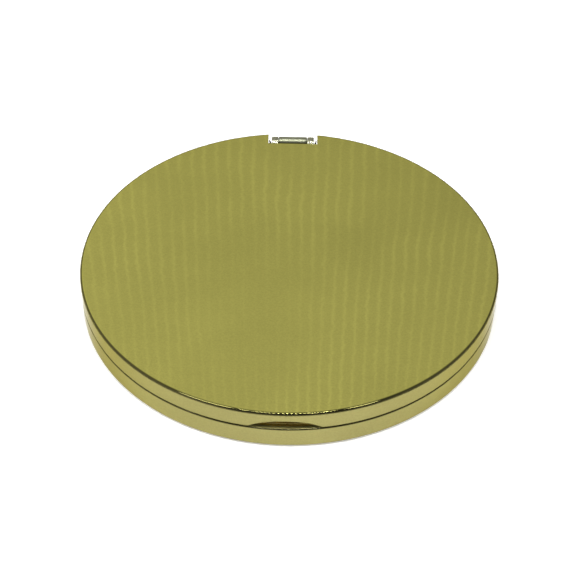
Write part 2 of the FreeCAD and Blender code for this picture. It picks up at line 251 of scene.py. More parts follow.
def block(name, low, high):
    builder = bmesh.new()
    bmesh.ops.create_cube(builder, size=1)
    size = Vector(high) - Vector(low)
    middle = (Vector(high) + Vector(low)) / 2
    for vert in builder.verts:
        vert.co = Vector(c * s for c, s in zip(vert.co, size)) + middle
    return object_from(name, builder)


def on_hinge(piece):
    """Lays a piece turned about the Z axis along the hinge's axis."""
    move = Matrix.Translation((0, HINGE_Y, HINGE_Z)) @ Matrix.Rotation(math.pi / 2, 4, "Y")
    piece.data.transform(move)
    return piece


def prism(name, outline, place, bevel=0.0):
    """A solid between two copies of an outline. place(u, v, side) gives each corner for side 0 and 1."""
    builder = bmesh.new()
    sides = [[builder.verts.new(place(u, v, side)) for u, v in outline] for side in (0, 1)]
    for side in sides:
        builder.faces.new(side)
    for index in range(len(outline)):
        after = (index + 1) % len(outline)
        builder.faces.new([sides[0][index], sides[0][after], sides[1][after], sides[1][index]])
    bmesh.ops.recalc_face_normals(builder, faces=builder.faces)
    if bevel:
        bmesh.ops.bevel(builder, geom=builder.edges, offset=bevel, segments=2, profile=0.5, affect="EDGES")
    return object_from(name, builder)


def discard(piece):
    """Removes an object and its mesh."""
    mesh = piece.data
    bpy.data.objects.remove(piece)
    bpy.data.meshes.remove(mesh)


def merge(piece, *others):
    """Adds the others' meshes to a piece's."""
    builder = bmesh.new()
    builder.from_mesh(piece.data)
    for other in others:
        builder.from_mesh(other.data)
        discard(other)
    builder.to_mesh(piece.data)
    builder.free()


def settle(piece):
    """Applies a piece's modifiers to its mesh."""
    graph = bpy.context.evaluated_depsgraph_get()
    mesh = bpy.data.meshes.new_from_object(piece.evaluated_get(graph))
    old = piece.data
    piece.modifiers.clear()
    piece.data = mesh
    bpy.data.meshes.remove(old)


def cut(piece, *tools):
    """Takes the tools away from a piece."""
    for tool in tools:
        modifier = piece.modifiers.new("cut", "BOOLEAN")
        modifier.operation = "DIFFERENCE"
        modifier.solver = "EXACT"
        modifier.object = tool
    settle(piece)
    for tool in tools:
        discard(tool)


def smooth(piece, degrees):
    """Smooth shading that keeps flat faces flat and cut edges sharp."""
    mesh = piece.data
    for face in mesh.polygons:
        face.use_smooth = True
    mesh.set_sharp_from_angle(angle=math.radians(degrees))
    weight = piece.modifiers.new("flat faces", "WEIGHTED_NORMAL")
    weight.keep_sharp = True
    weight.weight = 100


def dress(piece, body, slot, material, *nodes, sharp=32):
    """Shades a piece and puts it on its body in place of CAD nodes, with its material. slot is not used.

    Edges that turn by more than sharp degrees stay crisp.
    """
    smooth(piece, sharp)
    piece.data.materials.clear()
    piece.data.materials.append(material)
    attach(piece, body)
    if nodes:
        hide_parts(*nodes)


# ---- node trees ----
class Tree:
    """Short calls for building a node tree."""

    def __init__(self, owner):
        owner.use_nodes = True
        self.owner = owner
        self.tree = owner.node_tree
        self.tree.nodes.clear()

    def add(self, kind, inputs=None, **settings):
        node = self.tree.nodes.new(kind)
        for key, value in settings.items():
            setattr(node, key, value)
        for key, value in (inputs or {}).items():
            self.feed(node.inputs[key], value)
        return node

    def feed(self, socket, value):
        if isinstance(value, bpy.types.NodeSocket):
            self.tree.links.new(value, socket)
        else:
            socket.default_value = value

    def math(self, operation, *values, clamp=False):
        node = self.add("ShaderNodeMath", operation=operation, use_clamp=clamp)
        for index, value in enumerate(values):
            self.feed(node.inputs[index], value)
        return node.outputs[0]

    def times(self, first, second):
        return self.math("MULTIPLY", first, second)

    def minus(self, first, second):
        return self.math("SUBTRACT", first, second)

    def noise(self, vector, per_mm, detail=2.0, rough=0.5, distortion=0.0):
        """Noise with about per_mm cells to the millimetre."""
        inputs = {"Vector": vector, "Scale": per_mm / MM, "Detail": detail, "Roughness": rough,
                  "Distortion": distortion}
        return self.add("ShaderNodeTexNoise", inputs).outputs["Fac"]

    def span(self, value, low, high, to_low=0.0, to_high=1.0, kind="SMOOTHSTEP"):
        inputs = {"Value": value, "From Min": low, "From Max": high, "To Min": to_low, "To Max": to_high}
        return self.add("ShaderNodeMapRange", inputs, interpolation_type=kind).outputs["Result"]

    def tint(self, colour, factor):
        """A colour times a number."""
        node = self.add("ShaderNodeVectorMath", operation="SCALE")
        self.feed(node.inputs[0], colour if isinstance(colour, bpy.types.NodeSocket) else colour[:3])
        self.feed(node.inputs["Scale"], factor)
        return node.outputs[0]

    def mix(self, factor, first, second):
        inputs = {"Factor": factor, "A": first, "B": second}
        return self.add("ShaderNodeMix", inputs, data_type="RGBA").outputs["Result"]

    def length(self, x, y):
        squares = self.math("ADD", self.times(x, x), self.times(y, y))
        return self.math("SQRT", squares)

    def place(self):
        return self.add("ShaderNodeTexCoord").outputs["Object"]

    def split(self, vector):
        return self.add("ShaderNodeSeparateXYZ", {"Vector": vector}).outputs

    def bump(self, height, depth):
        inputs = {"Height": height, "Distance": depth, "Strength": 1.0}
        return self.add("ShaderNodeBump", inputs).outputs["Normal"]

    def finish(self, shader):
        self.add("ShaderNodeOutputMaterial", {"Surface": shader})

    def principled(self, inputs):
        """Ends the tree with a Principled shader and returns its material."""
        self.finish(self.add("ShaderNodeBsdfPrincipled", inputs).outputs[0])
        return self.owner


def rgba(colour):
    return (*colour, 1.0)


def new_material(name):
    return bpy.data.materials.new(name)


# ---- metals ----
EDGE_GOLD = (0.70, 0.66, 0.46)  # what polished brass turns to at a glancing angle
# Painted light: the lid's flat top gets a brighter, yellower copy of the wall brass, for how light falls on
# the top.
LID_TOP_PAINTED_LIGHT_GOLD = (0.56, 0.525, 0.128)
WALL_GOLD = (0.320, 0.292, 0.110)
INNER_GOLD = (0.50, 0.40, 0.14)
HINGE_GOLD = (0.44, 0.44, 0.31)
# Painted shade: a darker copy of the hinge brass for the strap and middle knuckle, which dims their highlight
# and darkens the strap.
BARREL_SHADED_GOLD = (0.34, 0.355, 0.24)
WORN_GOLD = (0.72, 0.66, 0.36)
EDGE_PAINTED_SHADE = 0.68  # how much painted shade darkens the rounded edges, standing in for the dark reflection along them
FAN_APEX_Y = -198 * MM  # the lid's lines fan out from a point this far in front
FAN_APEX_X = 2.1 * MM
FAN_STEP = 0.01038  # radians between two lines
FAN_WANDER = 0.0062  # radians a line strays over its length
FAN_JOG = 0.0042  # and over about a millimetre
QUIET_X = -6.5 * MM  # the lines fade round this place
QUIET_Y = -15 * MM


def scratches(t, place, per_mm, stretch, turn, width):
    """Fine hairlines along one direction: 1 on a line, 0 elsewhere."""
    spun = t.add("ShaderNodeMapping", {"Vector": place, "Rotation": (0, 0, turn), "Scale": (1, stretch, 1)})
    field = t.noise(spun.outputs[0], per_mm, detail=0.0)
    away = t.math("ABSOLUTE", t.minus(field, 0.5))
    return t.span(away, 0.0, width, 1.0, 0.0)


def edge_mask(t, radius, gain):
    """1 along worn edges, 0 on open faces."""
    soft = t.add("ShaderNodeBevel", {"Radius": radius}, samples=6).outputs[0]
    true = t.add("ShaderNodeNewGeometry").outputs["Normal"]
    alike = t.add("ShaderNodeVectorMath", {0: soft, 1: true}, operation="DOT_PRODUCT")
    turned_away = t.minus(1.0, alike.outputs["Value"])
    return t.math("MULTIPLY", turned_away, gain, clamp=True)


def fan_lines(t, place):
    """The lid's fan of fine, slightly wavy lines: about 0 between lines and 1 on them."""
    wander = t.times(t.minus(t.noise(place, 0.10, 1.0), 0.5), FAN_WANDER)
    jog = t.times(t.minus(t.noise(place, 0.75, 1.0), 0.5), FAN_JOG)
    x, y, _ = t.split(place)
    angle = t.math("ARCTAN2", t.minus(x, FAN_APEX_X), t.minus(y, FAN_APEX_Y))
    bent = t.math("ADD", t.math("ADD", angle, wander), jog)
    wave = t.math("COSINE", t.times(bent, 2 * math.pi / FAN_STEP))
    crest = t.math("POWER", t.math("MULTIPLY_ADD", wave, 0.5, 0.5), 4.0)
    strength = t.span(t.noise(place, 0.09, 2.0), 0.3, 0.68, 0.35, 1.0)
    quiet_x = t.minus(x, QUIET_X)
    quiet_y = t.minus(y, QUIET_Y)
    far = t.math("SQRT", t.math("ADD", t.times(quiet_x, quiet_x),
                                t.times(t.times(quiet_y, quiet_y), 0.35)))
    fade = t.span(far, 5 * MM, 17 * MM, 0.25, 1.0)
    return t.times(t.times(crest, strength), fade)


def brass(name, colour, roughness, grain=1.0, lined=False, top_painted_light_colour=None, edge=0.0, matt_rim=0.0,
          outline=0.0, painted_shade_heights=None):
    """Brass with faint tarnish, grain and hairlines.

    lined draws the fan of lines on the flat top. edge is the width over which edges are worn bright.
    matt_rim is the share of dull gilding on faces that look up. outline is painted shade: it darkens the
    colour of the rounded edges in place of the dark reflection along them, and recess (low, high) gives the
    heights below which painted shade darkens the metal, fading to clean metal at the higher one.
    top_painted_light_colour paints light: the flat top's own, brighter gold.
    """
    t = Tree(new_material(name))
    place = t.place()
    base = rgba(colour)
    normal = t.add("ShaderNodeNewGeometry").outputs["Normal"]
    facing_up = t.split(normal)[2]
    # Painted light: faces that look up get the top's own gold in place of the wall brass.
    if top_painted_light_colour:
        base = t.mix(t.span(facing_up, 0.80, 0.985), base, rgba(top_painted_light_colour))
    cloud = t.span(t.noise(place, 0.05, 3.0, 0.55), 0.3, 0.7, 0.955, 1.035)
    speck = t.span(t.noise(place, 3.2, 2.0, 0.6), 0.3, 0.7, 1 - 0.05 * grain, 1 + 0.05 * grain)
    tone = t.times(cloud, speck)
    hair = t.math("MAXIMUM", scratches(t, place, 0.5, 0.025, 0.5, 0.0022),
                  scratches(t, place, 0.45, 0.02, -0.9, 0.0022))
    if lined:
        lines = fan_lines(t, place)
        flat = t.span(facing_up, 0.97, 0.999)
        lines = t.times(lines, flat)
        tone = t.times(tone, t.math("MULTIPLY_ADD", lines, 0.13, 0.972))
    colour_out = t.tint(base, tone)
    if edge:
        worn = edge_mask(t, edge, 3.0)
        colour_out = t.mix(t.times(worn, 0.5), colour_out, rgba(WORN_GOLD))
    fillet = t.times(t.span(facing_up, 0.975, 0.93), t.span(facing_up, 0.05, 0.25))
    # Painted shade: the rounded edges' colour is darkened in place of the dark reflection along them.
    if outline:
        colour_out = t.tint(colour_out, t.math("MULTIPLY_ADD", fillet, -outline, 1.0))
    # Painted shade: the colour is darkened below the given heights, where the slot under the hinge barrel
    # lies in shadow.
    if painted_shade_heights:
        colour_out = t.tint(colour_out, t.span(t.split(place)[2], *painted_shade_heights, 0.10, 1.0))
    up = t.span(facing_up, 0.7, 0.95)
    metallic = t.minus(1.0, t.times(up, matt_rim))
    rough = t.math("MULTIPLY_ADD", t.noise(place, 0.35, 3.0), 0.05, roughness - 0.025)
    rough = t.math("MULTIPLY_ADD", up, matt_rim * 0.5, rough)
    if outline:
        rough = t.times(rough, t.math("MULTIPLY_ADD", fillet, -0.65, 1.0))
    rough = t.math("MULTIPLY_ADD", hair, 0.05, rough)
    unevenness = t.math("ADD", t.times(t.noise(place, 0.11, 1.0), 6.0),
                        t.times(t.noise(place, 2.2, 2.0), 0.12 * grain))
    uneven = t.bump(t.minus(unevenness, t.times(hair, 0.1)), 0.001 * MM)
    return t.principled({
        "Base Color": colour_out, "Metallic": metallic, "Roughness": rough, "Normal": uneven,
        "Specular Tint": rgba(EDGE_GOLD)})


def steel(name, colour, roughness, along):
    """Drawn wire or rolled strip: grey metal with fine lines that run along one axis."""
    t = Tree(new_material(name))
    stretched = t.add("ShaderNodeMapping", {"Vector": t.place(), "Scale": along})
    lines = t.noise(stretched.outputs[0], 3.0, 3.0, 0.6)
    tone = t.span(lines, 0.25, 0.75, 0.86, 1.1)
    rough = t.span(lines, 0.2, 0.8, roughness - 0.06, roughness + 0.08)
    return t.principled({
        "Base Color": t.tint(rgba(colour), tone), "Metallic": 1.0, "Roughness": rough,
        "Normal": t.bump(lines, 0.003 * MM)})


def spun_metal(name, colour, roughness):
    """Aluminium drawn and spun about the case's axis, with fine rings."""
    t = Tree(new_material(name))
    place = t.place()
    x, y, z = t.split(place)
    radius = t.length(x, y)
    along = t.add("ShaderNodeCombineXYZ", {"X": radius, "Y": z}).outputs[0]
    rings = t.noise(along, 5.0, 3.0, 0.6)
    tone = t.times(t.span(rings, 0.25, 0.75, 0.9, 1.06),
                  t.span(t.noise(place, 0.2, 3.0), 0.3, 0.7, 0.94, 1.04))
    return t.principled({
        "Base Color": t.tint(rgba(colour), tone), "Metallic": 1.0,
        "Roughness": t.span(rings, 0.2, 0.8, roughness - 0.05, roughness + 0.08),
        "Normal": t.bump(rings, 0.004 * MM)})


# ---- other materials ----
def powder_material():
    """Pressed powder: matt, faintly mottled, with loose grains and the nap of the pressing cloth."""
    t = Tree(new_material("pressed_powder"))
    place = t.place()
    mottled = t.span(t.noise(place, 0.18, 4.0, 0.6), 0.3, 0.7, 0.93, 1.05)
    grain = t.noise(place, 7.0, 3.0, 0.7)
    tone = t.times(mottled, t.span(grain, 0.25, 0.75, 0.93, 1.07))
    flecks = t.span(t.noise(place, 3.0, 1.0), 0.70, 0.78)
    colour = t.mix(flecks, t.tint(rgba((0.70, 0.43, 0.29)), tone), rgba((0.78, 0.60, 0.48)))
    dimples = t.times(t.noise(place, 1.4, 2.0), 0.05)
    height = t.math("ADD", t.times(grain, 0.03), dimples)
    return t.principled({
        "Base Color": colour, "Roughness": t.span(grain, 0.2, 0.8, 0.82, 0.98),
        "Sheen Weight": 0.12, "Sheen Roughness": 0.5, "Normal": t.bump(height, MM)})


def film_material():
    """Clear film with a slight haze, dust and handling marks."""
    t = Tree(new_material("clear_film"))
    place = t.place()
    dust = t.span(t.noise(place, 1.6, 3.0), 0.64, 0.74)
    haze = t.span(t.noise(place, 0.1, 2.0), 0.3, 0.7, 0.05, 0.16)
    return t.principled({
        "Base Color": t.mix(dust, rgba((0.93, 0.93, 0.91)), rgba((0.82, 0.68, 0.58))),
        "Roughness": haze, "IOR": 1.46,
        "Alpha": t.math("MULTIPLY_ADD", dust, 0.25, 0.16)})


def velour_material():
    """Short dense pile: soft, brushed light and dark, with powder worked into it."""
    t = Tree(new_material("puff_velour"))
    place = t.place()
    pile = t.noise(place, 5.0, 3.0, 0.7)
    brushed = t.span(t.noise(place, 0.22, 3.0, 0.55, 0.6), 0.3, 0.7, 0.86, 1.08)
    tone = t.times(brushed, t.span(pile, 0.25, 0.75, 0.84, 1.08))
    powdered = t.span(t.noise(place, 0.12, 3.0), 0.42, 0.7, 0.0, 0.55)
    colour = t.mix(powdered, rgba((0.80, 0.62, 0.47)), rgba((0.76, 0.50, 0.36)))
    return t.principled({
        "Base Color": t.tint(colour, tone), "Roughness": t.span(pile, 0.2, 0.8, 0.85, 1.0),
        "Sheen Weight": 0.6, "Sheen Roughness": 0.45, "Normal": t.bump(pile, 0.12 * MM)})


def satin_material(name, colour, turn=0.0):
    """Satin weave: long floats one way, fine ribs across, and a soft gloss."""
    t = Tree(new_material(name))
    place = t.add("ShaderNodeMapping", {"Vector": t.place(), "Rotation": (0, 0, turn)}).outputs[0]
    x, y, _ = t.split(place)
    warp = t.math("SINE", t.times(x, 2 * math.pi / (0.22 * MM)))
    weft = t.math("SINE", t.times(y, 2 * math.pi / (0.55 * MM)))
    weave = t.math("MULTIPLY_ADD", warp, 0.35, t.times(weft, 0.15))
    floats = t.add("ShaderNodeMapping", {"Vector": place, "Scale": (1, 0.12, 1)}).outputs[0]
    slub = t.noise(floats, 2.2, 3.0, 0.6)
    tone = t.times(t.span(slub, 0.25, 0.75, 0.9, 1.07),
                  t.math("MULTIPLY_ADD", weave, 0.05, 1.0))
    return t.principled({
        "Base Color": t.tint(rgba(colour), tone), "Roughness": t.span(slub, 0.2, 0.8, 0.34, 0.5),
        "Sheen Weight": 0.25, "Sheen Roughness": 0.4, "Specular IOR Level": 0.6,
        "Normal": t.bump(t.math("MULTIPLY_ADD", slub, 0.8, weave), 0.012 * MM)})


def mirror_material():
    """Silvered glass: a clear bright reflection, faintly green at the edge, with a little dust."""
    t = Tree(new_material("mirror_glass"))
    place = t.place()
    x, y, _ = t.split(place)
    radius = t.length(x, y)
    rim = t.span(radius, MIRROR_HIGH.x - 0.5 * MM, MIRROR_HIGH.x)
    dust = t.span(t.noise(place, 1.1, 4.0, 0.65), 0.62, 0.8)
    smear = t.span(t.noise(place, 0.12, 2.0, 0.5, 0.8), 0.45, 0.75)
    colour = t.mix(rim, rgba((0.90, 0.91, 0.91)), rgba((0.60, 0.72, 0.66)))
    rough = t.math("ADD", t.math("MULTIPLY_ADD", smear, 0.035, 0.012), t.times(dust, 0.12))
    return t.principled({
        "Base Color": colour, "Metallic": 1.0, "Roughness": rough, "Coat Weight": 0.5,
        "Coat Roughness": 0.02})


def card_material():
    """Grey-brown card with short fibres."""
    t = Tree(new_material("card"))
    place = t.place()
    drawn_out = t.add("ShaderNodeMapping", {"Vector": place, "Scale": (1, 0.25, 1)}).outputs[0]
    fibres = t.noise(drawn_out, 3.0, 4.0)
    tone = t.times(t.span(fibres, 0.25, 0.75, 0.82, 1.1),
                  t.span(t.noise(place, 0.15, 3.0), 0.3, 0.7, 0.93, 1.05))
    return t.principled({
        "Base Color": t.tint(rgba((0.36, 0.31, 0.24)), tone), "Roughness": 0.9,
        "Normal": t.bump(fibres, 0.02 * MM)})


LID_BRASS = brass("lid_brass", WALL_GOLD, 0.065, lined=True, top_painted_light_colour=LID_TOP_PAINTED_LIGHT_GOLD, outline=EDGE_PAINTED_SHADE)
CASE_BRASS = brass("case_brass", WALL_GOLD, 0.08, matt_rim=0.6, outline=EDGE_PAINTED_SHADE)
INNER_BRASS = brass("inner_brass", INNER_GOLD, 0.28, grain=2.0, matt_rim=0.06)
# The hinge brass carries painted shade low down, in the shadowed slot under the barrel.
HINGE_BRASS = brass("hinge_brass", HINGE_GOLD, 0.26, painted_shade_heights=(6.4 * MM, 6.9 * MM))
BARREL_SHADED_BRASS = brass("barrel_shaded_brass", BARREL_SHADED_GOLD, 0.40, painted_shade_heights=(6.5 * MM, 7.0 * MM))
SMALL_BRASS = brass("small_brass", INNER_GOLD, 0.2, edge=0.05 * MM)
PIN_STEEL = steel("pin_steel", (0.36, 0.35, 0.32), 0.3, (0.1, 1, 1))
RING_STEEL = steel("ring_wire", (0.44, 0.43, 0.40), 0.26, (1, 1, 1))
SPRING_STEEL = steel("spring_strip", (0.33, 0.32, 0.30), 0.3, (1, 1, 0.15))
PAN_METAL = spun_metal("pan_metal", (0.62, 0.62, 0.61), 0.3)
POWDER = powder_material()
FILM = film_material()
VELOUR = velour_material()
SATIN = satin_material("puff_satin", (0.74, 0.53, 0.40), 0.6)
RIBBON = satin_material("ribbon_satin", (0.80, 0.60, 0.45), math.pi / 2)
MIRROR = mirror_material()
CARD = card_material()


# ---- case ----
def thumb_rise(x, y, z):
    """Lifts the lid's lower rim into the thumb notch."""
    if y > 0 or abs(x) >= THUMB_HALF or z > LID_LOW.z + THUMB_HEIGHT / 2:
        return z
    return z + THUMB_HEIGHT * (1 - (abs(x) / THUMB_HALF) ** THUMB_POWER)


def make_lid_shell():
    roof = LID_HIGH.z - SHEET
    outline = rounded([
        (0, roof, 0), (INNER_RADIUS, roof, ROOF_CORNER), (INNER_RADIUS, LID_LOW.z, INSIDE_EDGE),
        (CASE_RADIUS, LID_LOW.z, LID_RIM_EDGE), (CASE_RADIUS, LID_HIGH.z, TOP_EDGE), (0, LID_HIGH.z, 0)])
    shell = turned("lid_cover", outline, fine_front=True, shape=thumb_rise)
    notch = block("notch", (-HINGE_NOTCH_HALF, HINGE_NOTCH_Y, 0),
                  (HINGE_NOTCH_HALF, CASE_RADIUS + MM, CUT_TOP_Z))
    cut(shell, notch)
    dress(shell, "lid", "lid_brass", LID_BRASS, "lid_shell")


def make_base_shell():
    outline = rounded([
        (0, 0, 0), (CASE_RADIUS, 0, BOTTOM_EDGE), (CASE_RADIUS, BASE_HIGH.z, BASE_RIM_EDGE),
        (INNER_RADIUS, BASE_HIGH.z, RIM_INNER_EDGE), (INNER_RADIUS, SHEET, FLOOR_CORNER), (0, SHEET, 0)])
    shell = turned("base_cup", outline)
    dress(shell, "base", "case_brass", CASE_BRASS, "base_shell")


# ---- hinge pieces ----
def barrel(name, low, high, bore):
    """One knuckle from x = low to x = high, with rounded ends."""
    length = abs(high - low)
    outline = rounded([(bore, 0, BORE_EDGE), (KNUCKLE_RADIUS, 0, KNUCKLE_EDGE),
                       (KNUCKLE_RADIUS, length, KNUCKLE_EDGE), (bore, length, BORE_EDGE)])
    piece = turned(name, outline, columns=BARREL_COLUMNS)
    on_hinge(piece)
    piece.data.transform(Matrix.Translation((min(low, high), 0, 0)))
    return piece


def make_base_leaf():
    """The strap behind the deck, its two ears, and the middle knuckle."""
    right = [(STRAP_HALF, STRAP_FOOT_Z), (STRAP_HALF, EAR_HIGH_Z), (EAR_X, EAR_LOW_Z), (EAR_X, SHOULDER_Z),
             (MID_KNUCKLE_HALF, SHOULDER_Z), (MID_KNUCKLE_HALF, SADDLE_Z)]
    steps = [(MID_KNUCKLE_HALF * (1 - i / STRAP_STEPS), SADDLE_Z) for i in range(1, STRAP_STEPS)]
    half = right + steps
    foot = [(STRAP_HALF * (-1 + i / STRAP_STEPS), STRAP_FOOT_Z) for i in range(1, 2 * STRAP_STEPS)]
    outline = half + [(-x, z) for x, z in reversed(half)] + foot

    def place(x, z, side):
        radius = STRAP_RADIUS - LEAF * side
        return (x, math.sqrt(radius * radius - x * x), z)

    strap = prism("hinge_strap", outline, place)
    merge(strap, barrel("middle", -MID_KNUCKLE_HALF, MID_KNUCKLE_HALF, PIN_RADIUS))
    dress(strap, "base", "hinge_brass", BARREL_SHADED_BRASS, "base_hinge_leaf")


def make_lid_leaf():
    """The plate under the roof, and two tabs that rise into the outer knuckles."""
    inner, outer = LEAF_PLATE
    notch_x, notch_y = LEAF_PLATE_NOTCH
    span = [LEAF_PLATE_HALF * (-1 + i / PLATE_STEPS) for i in range(2 * PLATE_STEPS + 1)]
    near = [(x, math.sqrt(inner * inner - x * x)) for x in span]
    far = [(x, math.sqrt(outer * outer - x * x)) for x in reversed(span) if x > notch_x]
    corner = [(notch_x, math.sqrt(outer * outer - notch_x * notch_x)), (notch_x, notch_y)]
    right = far + corner
    outline = near + right + [(-x, y) for x, y in reversed(right)]
    top = LID_HIGH.z - SHEET - SOLDER_GAP
    leaf = prism("hinge_plate", outline, lambda x, y, side: (x, y, top - LEAF * side))
    tab_outline = [(y * MM, z * MM) for y, z in TAB_PROFILE]
    for side in (-1, 1):
        start, end = side * TAB_X[0], side * TAB_X[1]
        tab = prism("tab", tab_outline, lambda y, z, far_side: (end if far_side else start, y, z), TAB_EDGE)
        merge(leaf, tab, barrel("outer", start, end, PIN_RADIUS + BORE_ROOM))
    dress(leaf, "lid", "hinge_brass", HINGE_BRASS, "lid_hinge_leaf", sharp=50)


def make_pin():
    outline = rounded([(0, -HINGE_HALF, 0), (PIN_RADIUS, -HINGE_HALF, PIN_END_EDGE),
                       (PIN_RADIUS, HINGE_HALF, PIN_END_EDGE), (0, HINGE_HALF, 0)])
    pin = on_hinge(turned("pin", outline, columns=PIN_COLUMNS))
    dress(pin, "base", "pin_steel", PIN_STEEL, "hinge_pin")


# ---- inside the base ----
def make_deck():
    """Deck, collar and well wall in one spun piece."""
    well_in, well_out = WELL
    collar_in, collar_out = COLLAR
    deck_low, deck_high = DECK_Z
    outline = rounded([
        (well_in, DECK_LOW.z, 0), (well_out, DECK_LOW.z, 0), (well_out, deck_low, DECK_BEND),
        (STRAP_RADIUS, deck_low, 0), (STRAP_RADIUS, deck_high, 0), (collar_out, deck_high, 0),
        (collar_out, DECK_HIGH.z, SPUN_EDGE), (collar_in, DECK_HIGH.z, SPUN_EDGE),
        (collar_in, deck_high, COLLAR_ROOT), (well_out, deck_high, WELL_ROOT),
        (well_out, DECK_HIGH.z, 2 * SPUN_EDGE), (well_in, DECK_HIGH.z, 2 * SPUN_EDGE)], steps=5)

    def open_collar(x, y, z):
        behind = math.degrees(math.atan2(abs(x), y))
        if behind < COLLAR_OPEN and math.hypot(x, y) > (well_out + collar_in) / 2:
            return min(z, deck_high)
        return z

    deck = turned("deck", outline, shape=open_collar)
    slot_half, slot_near, slot_far = HOOK_SLOT
    slot = block("slot", (-slot_half, slot_near, deck_low - MM), (slot_half, slot_far, deck_high + MM))
    room = block("room", (-STRAP_ROOM_HALF, STRAP_ROOM_Y, deck_low - MM),
                 (STRAP_ROOM_HALF, CASE_RADIUS, deck_high + MM))
    cut(deck, slot, room)
    dress(deck, "base", "inner_brass", INNER_BRASS, "inner_frame")


def make_pan():
    outline = rounded([
        (0, PAN_LOW.z, 0), (PAN_HIGH.x, PAN_LOW.z, PAN_BOTTOM_EDGE), (PAN_HIGH.x, PAN_HIGH.z, PAN_RIM_EDGE),
        (PAN_HIGH.x - PAN_WALL, PAN_HIGH.z, PAN_RIM_EDGE),
        (PAN_HIGH.x - PAN_WALL, PAN_LOW.z + PAN_WALL, PAN_CORNER), (0, PAN_LOW.z + PAN_WALL, 0)])
    pan = turned("godet", outline)
    dress(pan, "base", "pan_metal", PAN_METAL, "refill_pan")


PETALS = 24
CAKE_BORDER = 0.90  # of the cake's radius: the pressed pattern stops here
CAKE_RELIEF = 0.11 * MM
CAKE_EDGE = 0.3 * MM
CAKE_FACE = 0.35 * MM  # points this near the top are pressed
RING_SHARE, RING_WIDTH = CAKE_BORDER * 0.97, 0.012  # the pressed ring, as shares of the radius
BOSS_SHARE, BOSS_WIDTH = 0.17, 0.015  # the groove round the plain boss
PETALS_FROM, PETALS_TO = 0.2, 0.83
PETAL_POWER = 0.6  # under 1 gives broad petals with narrow creases


def cake_relief(x, y, z):
    """Presses a ring, fluted petals and a plain boss into the top of the powder."""
    share = math.hypot(x, y) / POWDER_HIGH.x
    if z < POWDER_HIGH.z - CAKE_FACE or share > CAKE_BORDER:
        return z
    angle = math.atan2(x, -y)
    ring = math.exp(-((share - RING_SHARE) / RING_WIDTH) ** 2)
    fluted = abs(math.sin(PETALS * angle / 2)) ** PETAL_POWER
    inside = min(1.0, max(0.0, (share - PETALS_FROM) / 0.05)) * min(1.0, max(0.0, (PETALS_TO - share) / 0.03))
    boss = math.exp(-((share - BOSS_SHARE) / BOSS_WIDTH) ** 2)
    fall = ring * 0.9 + boss * 0.8 + inside * (1 - fluted) * 0.9
    return z - CAKE_RELIEF * min(1.0, fall)


def make_powder():
    edge = POWDER_HIGH.x - CAKE_EDGE
    outline = rounded([(0, POWDER_LOW.z, 0), (POWDER_HIGH.x, POWDER_LOW.z, CAKE_EDGE),
                       (POWDER_HIGH.x, POWDER_HIGH.z, CAKE_EDGE)])[:-1]
    outline = [point for point in outline if point.y < POWDER_HIGH.z - 1e-7]
    outline += [Vector((edge * (1 - row / CAKE_ROWS), POWDER_HIGH.z)) for row in range(CAKE_ROWS + 1)]
    cake = turned("powder_cake", outline, shape=cake_relief)
    dress(cake, "base", "powder", POWDER, "pressed_powder")


def make_ring():
    """A split wire ring, sprung into the well, with rounded ends."""
    builder = bmesh.new()
    radius = RING_HIGH.x - RING_WIRE
    middle_z = (RING_LOW.z + RING_HIGH.z) / 2
    dome = [math.pi / 2 * i / RING_DOME for i in range(RING_DOME)]
    sweep = 360 - 2 * RING_GAP
    stations = [(RING_GAP, -RING_WIRE * math.cos(a), math.sin(a)) for a in dome]
    stations += [(RING_GAP + sweep * i / RING_STEPS, 0.0, 1.0) for i in range(RING_STEPS + 1)]
    stations += [(360 - RING_GAP, RING_WIRE * math.cos(a), math.sin(a)) for a in reversed(dome)]
    rings = []
    for degrees, along, size in stations:
        angle = math.radians(degrees)
        out = Vector((math.sin(angle), -math.cos(angle), 0))
        forward = Vector((math.cos(angle), math.sin(angle), 0))
        centre = out * radius + forward * along + Vector((0, 0, middle_z))
        ring = []
        for j in range(RING_AROUND):
            turn = 2 * math.pi * j / RING_AROUND
            offset = out * math.cos(turn) + Vector((0, 0, math.sin(turn)))
            ring.append(builder.verts.new(centre + offset * RING_WIRE * max(size, 0.02)))
        rings.append(ring)
    for first, second in zip(rings, rings[1:]):
        for j in range(RING_AROUND):
            after = (j + 1) % RING_AROUND
            builder.faces.new([first[j], second[j], second[after], first[after]])
    builder.faces.new(rings[0])
    builder.faces.new(list(reversed(rings[-1])))
    wire = object_from("snap_ring", builder)
    dress(wire, "base", "ring_wire", RING_STEEL, "retaining_ring")


def make_film():
    """A thin clear disc that lies slightly wavy on the powder."""
    middle = (FILM_LOW.z + FILM_HIGH.z) / 2
    under = [Vector((FILM_HIGH.x * row / FILM_ROWS, middle - FILM_HALF)) for row in range(FILM_ROWS + 1)]
    outline = under + [Vector((p.x, middle + FILM_HALF)) for p in reversed(under)]

    def wavy(x, y, z):
        broad = noise.noise(Vector((x, y, 0)) / (11 * MM)) * 0.05
        fine = noise.noise(Vector((y, x, 0)) / (4 * MM)) * 0.015
        return z + (broad + fine) * MM

    film = turned("film", outline, shape=wavy)
    dress(film, "base", "clear_film", FILM, "powder_film")


# ---- mirror ----
def make_mirror():
    seen_edge, hidden_edge = MIRROR_EDGES
    outline = rounded([(0, MIRROR_LOW.z, 0), (MIRROR_HIGH.x, MIRROR_LOW.z, seen_edge),
                       (MIRROR_HIGH.x, MIRROR_HIGH.z, hidden_edge), (0, MIRROR_HIGH.z, 0)])
    glass = turned("glass", outline)
    dress(glass, "lid", "mirror_glass", MIRROR, "mirror")


